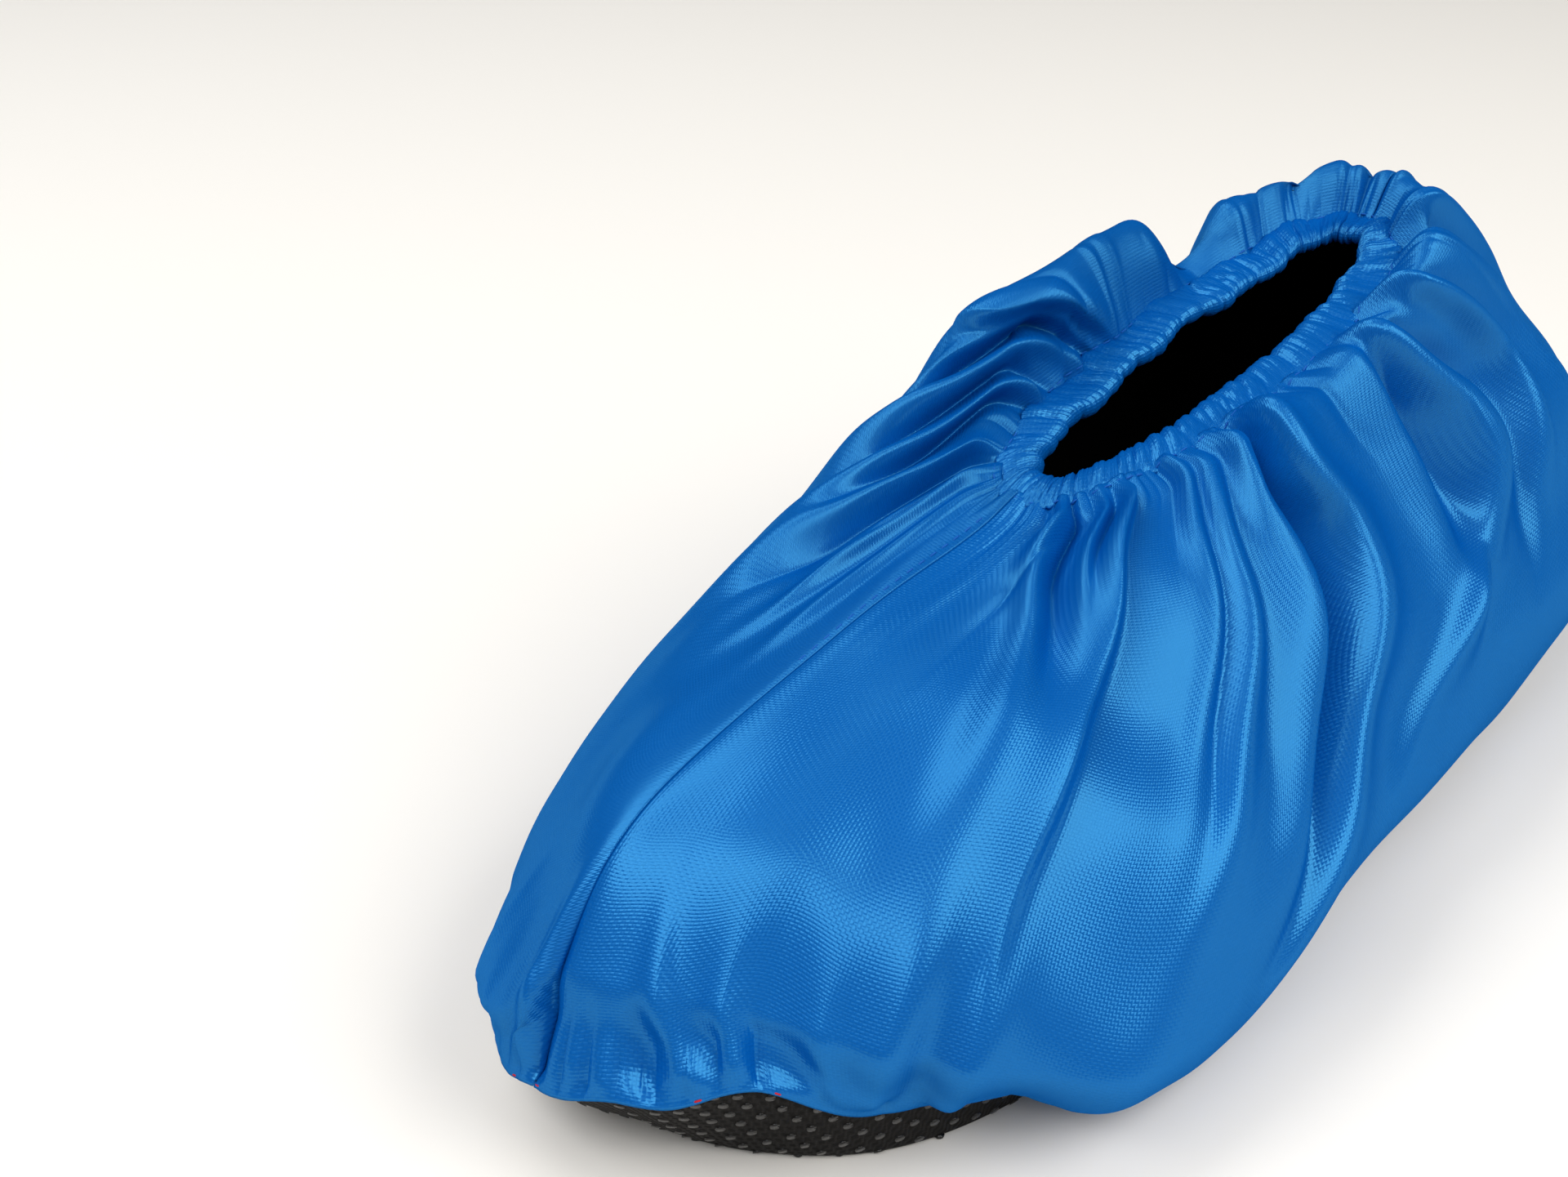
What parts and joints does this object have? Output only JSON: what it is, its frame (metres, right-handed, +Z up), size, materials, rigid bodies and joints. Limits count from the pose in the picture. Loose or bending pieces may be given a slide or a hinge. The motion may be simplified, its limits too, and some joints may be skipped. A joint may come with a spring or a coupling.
{
  "type": "shoe cover",
  "caption": "Reusable pull-on cover for a left shoe: blue woven upper gathered on an elastic mouth, over a black knitted sole with rubber grip dots",
  "frame": {"origin": "on the floor, under the middle of the sole's length, in the plane of the toe and heel seams", "axes": "-Y towards the toe, +Y towards the heel, +X towards the outer side of the foot, +Z up"},
  "size_m": [0.1344, 0.3214, 0.1122],
  "materials": {
    "woven_panel": "satin woven polyester",
    "hem_casing": "gathered satin polyester",
    "knit_sole": "ribbed knit",
    "grip_rubber": "glossy",
    "thread": "matt thread"
  },
  "bodies": {
    "root": {"panel_right": "woven_panel", "panel_left": "woven_panel", "elastic_hem": "hem_casing", "sole": "knit_sole"}
  },
  "joints": []
}
